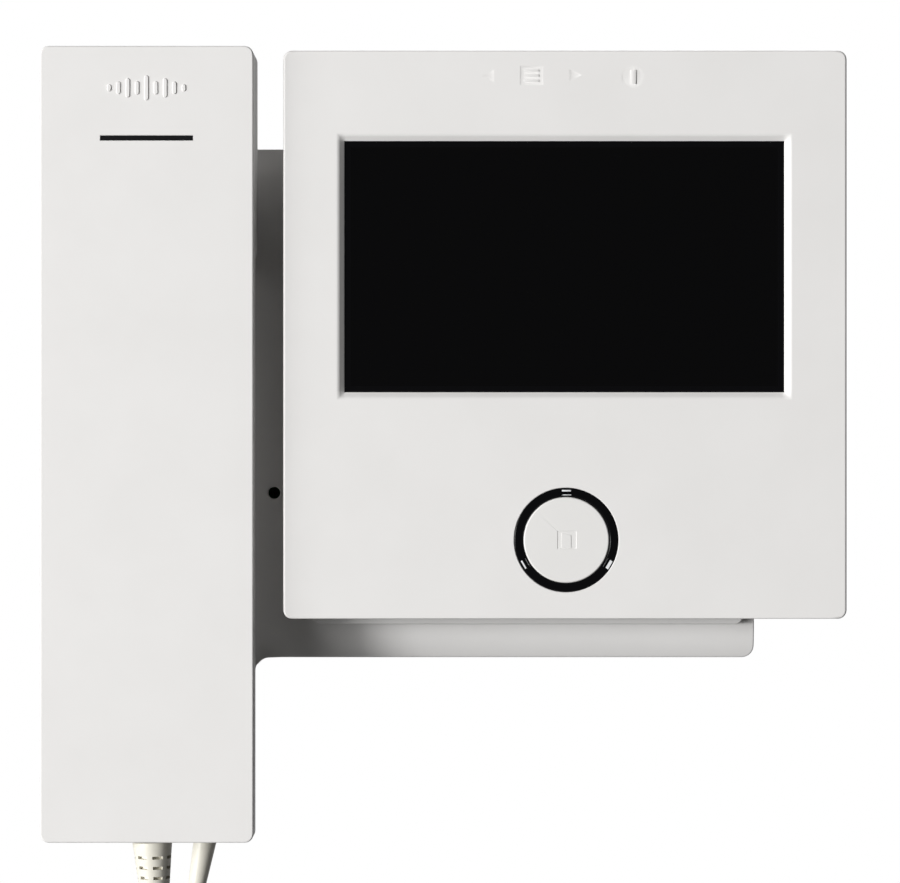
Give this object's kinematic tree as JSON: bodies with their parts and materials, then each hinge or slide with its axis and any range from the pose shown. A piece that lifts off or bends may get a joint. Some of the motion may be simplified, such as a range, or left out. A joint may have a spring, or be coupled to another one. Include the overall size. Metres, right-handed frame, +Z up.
{
  "type": "video intercom monitor",
  "caption": "Wall-mounted video intercom monitor with a floating screen panel, round door key with a black ring, and a flat bar handset on a curly cord.",
  "frame": {"origin": "centre of the four wall screw holes, on the wall's plane", "axes": "+Z up, +Y into the wall, the screen faces -Y, +X to the viewer's right"},
  "size_m": [0.2039, 0.054, 0.348],
  "materials": {
    "white_plastic": "fine moulded grain",
    "white_cover": "smooth satin",
    "key_plastic": "smooth satin",
    "lens_black": "polished",
    "ring_black": "glossy",
    "light_window": "frosted",
    "smoke_bar": "smoked",
    "black_plastic": "moulded",
    "cord_plastic": "soft satin sheath",
    "black_rubber": "matt",
    "foam": "foam",
    "zinc_steel": "zinc plated",
    "screw_steel": "zinc plated",
    "spring_steel": "bright wire",
    "magnet_nickel": "nickel plated",
    "lcd_glass": "dark",
    "backlight_metal": "pressed",
    "circuit_board": "solder mask",
    "terminal_green": "moulded",
    "flex_film": "polyimide",
    "socket_cream": "moulded",
    "ribbon_grey": "ribbed"
  },
  "bodies": {
    "base": {"wall_bracket": "zinc_steel", "base_rear_shell": "white_cover", "base_front_cover": "white_cover", "base_screws": "screw_steel", "neck_screws": "screw_steel", "base_pcb": "circuit_board", "base_pcb_screws": "screw_steel", "terminal_block": "terminal_green", "terminal_screws": "screw_steel", "hook_switch": "black_plastic", "hook_pivot_pin": "spring_steel", "hook_spring": "spring_steel", "cradle_magnets": "magnet_nickel", "call_speaker": "black_plastic", "cord_gland": "cord_plastic", "cord_handset_tail": "cord_plastic", "cord_coil": "cord_plastic", "cord_base_tail": "cord_plastic", "monitor_rear_shell": "white_cover", "monitor_front_panel": "white_plastic", "screen_lens": "lens_black", "lens_gasket": "foam", "lcd_panel": "lcd_glass", "lcd_backlight": "backlight_metal", "lcd_bracket": "black_plastic", "lcd_flex_cable": "flex_film", "main_pcb": "circuit_board", "main_pcb_screws": "screw_steel", "board_sockets": "socket_cream", "board_ribbon": "ribbon_grey", "monitor_screws": "screw_steel", "key_ring": "ring_black", "ring_light_windows": "light_window", "ring_light_guide": "light_window", "door_switch": "black_plastic", "door_key_spring": "spring_steel", "key_pcb": "circuit_board", "key_switches": "black_plastic"},
    "door_key": {"door_key": "key_plastic"},
    "left_key": {"left_key": "key_plastic"},
    "menu_key": {"menu_key": "key_plastic"},
    "right_key": {"right_key": "key_plastic"},
    "info_key": {"info_key": "key_plastic"},
    "hook": {"hook_lever": "socket_cream"},
    "handset": {"handset_front_shell": "white_plastic", "handset_back_shell": "white_cover", "handset_light_bar": "smoke_bar", "handset_light_board": "circuit_board", "earpiece_capsule": "black_plastic", "earpiece_gasket": "foam", "microphone_capsule": "backlight_metal", "microphone_boot": "black_rubber", "handset_weight": "zinc_steel", "handset_magnets": "magnet_nickel", "handset_screws": "screw_steel", "cord_boot": "cord_plastic"}
  },
  "joints": [
    {"name": "handset_lift", "type": "slide", "parent": "base", "child": "handset", "axis": [0, -1, 0], "range_m": [0, 0.04]},
    {"name": "hook_hinge", "type": "hinge", "parent": "base", "child": "hook", "pos_m": [-0.077, -0.0185, 0.03], "axis": [1, 0, 0], "range_deg": [0, 8.2], "deforming": ["hook_spring"]},
    {"name": "door_key_press", "type": "slide", "parent": "base", "child": "door_key", "axis": [0, 1, 0], "range_m": [0, 0.001], "stiffness_N_per_m": 900, "deforming": ["door_key_spring"]},
    {"name": "left_key_press", "type": "slide", "parent": "base", "child": "left_key", "axis": [0, 0, -1], "range_m": [0, 0.0006], "stiffness_N_per_m": 600},
    {"name": "menu_key_press", "type": "slide", "parent": "base", "child": "menu_key", "axis": [0, 0, -1], "range_m": [0, 0.0006], "stiffness_N_per_m": 600},
    {"name": "right_key_press", "type": "slide", "parent": "base", "child": "right_key", "axis": [0, 0, -1], "range_m": [0, 0.0006], "stiffness_N_per_m": 600},
    {"name": "info_key_press", "type": "slide", "parent": "base", "child": "info_key", "axis": [0, 0, -1], "range_m": [0, 0.0006], "stiffness_N_per_m": 600}
  ],
  "couplings": [
    {"joint": "hook_hinge", "follows": "handset_lift", "rad_per_m": 3.5}
  ]
}
